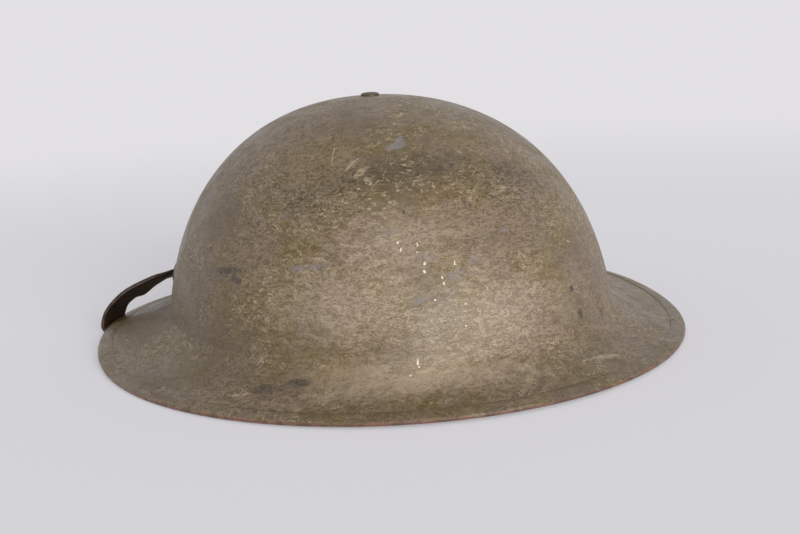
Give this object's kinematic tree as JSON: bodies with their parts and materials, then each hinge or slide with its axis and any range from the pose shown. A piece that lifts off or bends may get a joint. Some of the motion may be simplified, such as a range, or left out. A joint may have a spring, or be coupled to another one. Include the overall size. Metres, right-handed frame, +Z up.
{
  "type": "brimmed steel helmet",
  "caption": "Shallow pressed steel combat helmet with a wide brim, a padded leather liner and its chin strap stowed around the back.",
  "frame": {"origin": "centre of the bounding box's bottom face, under the middle of the brim", "axes": "+Z up through the crown, +Y towards the back where the stowed strap lies, -Y the front, -X the left"},
  "size_m": [0.292, 0.309, 0.1191],
  "materials": {
    "painted_steel": "worn olive brown paint, finely wrinkled, satin",
    "bare_steel": "dull dark steel",
    "leather": "dark brown, worn smooth",
    "felt": "pressed wool felt",
    "webbing": "woven cotton tape",
    "oilcloth": "black oiled cloth, low sheen",
    "rubber": "matt red brown rubber",
    "twine": "twisted cotton twine"
  },
  "bodies": {
    "helmet": {"shell": "painted_steel", "rim_band": "painted_steel", "crown_rivet": "painted_steel", "crown_washer": "bare_steel", "crown_felt_pad": "felt", "front_back_tape": "webbing", "side_tape": "webbing", "liner_outer_band": "oilcloth", "liner_headband": "leather", "rubber_buffer_01": "rubber", "rubber_buffer_02": "rubber", "rubber_buffer_03": "rubber", "rubber_buffer_04": "rubber", "rubber_buffer_05": "rubber", "rubber_buffer_06": "rubber", "rubber_buffer_07": "rubber", "rubber_buffer_08": "rubber", "rubber_buffer_09": "rubber", "rubber_buffer_10": "rubber", "rubber_buffer_11": "rubber", "rubber_buffer_12": "rubber", "head_net": "twine", "net_draw_lace": "twine", "left_bail_bracket": "bare_steel", "left_bracket_rivet": "painted_steel", "left_bracket_washer": "bare_steel", "left_strap": "leather", "right_bail_bracket": "bare_steel", "right_bracket_rivet": "painted_steel", "right_bracket_washer": "bare_steel", "right_strap": "leather", "strap_slide": "bare_steel"},
    "left_bail": {"left_bail": "bare_steel"},
    "right_bail": {"right_bail": "bare_steel"}
  },
  "joints": [
    {"name": "left_bail_swing", "type": "hinge", "parent": "helmet", "child": "left_bail", "pos_m": [-0.10044, 0.03449, 0.0217], "axis": [-0.286, -0.9246, -0.2517], "range_deg": [-6, 40], "deforming": ["left_strap"]},
    {"name": "right_bail_swing", "type": "hinge", "parent": "helmet", "child": "right_bail", "pos_m": [0.09993, 0.03645, 0.02169], "axis": [-0.3019, 0.9196, 0.2512], "range_deg": [-6, 40], "deforming": ["right_strap"]}
  ]
}
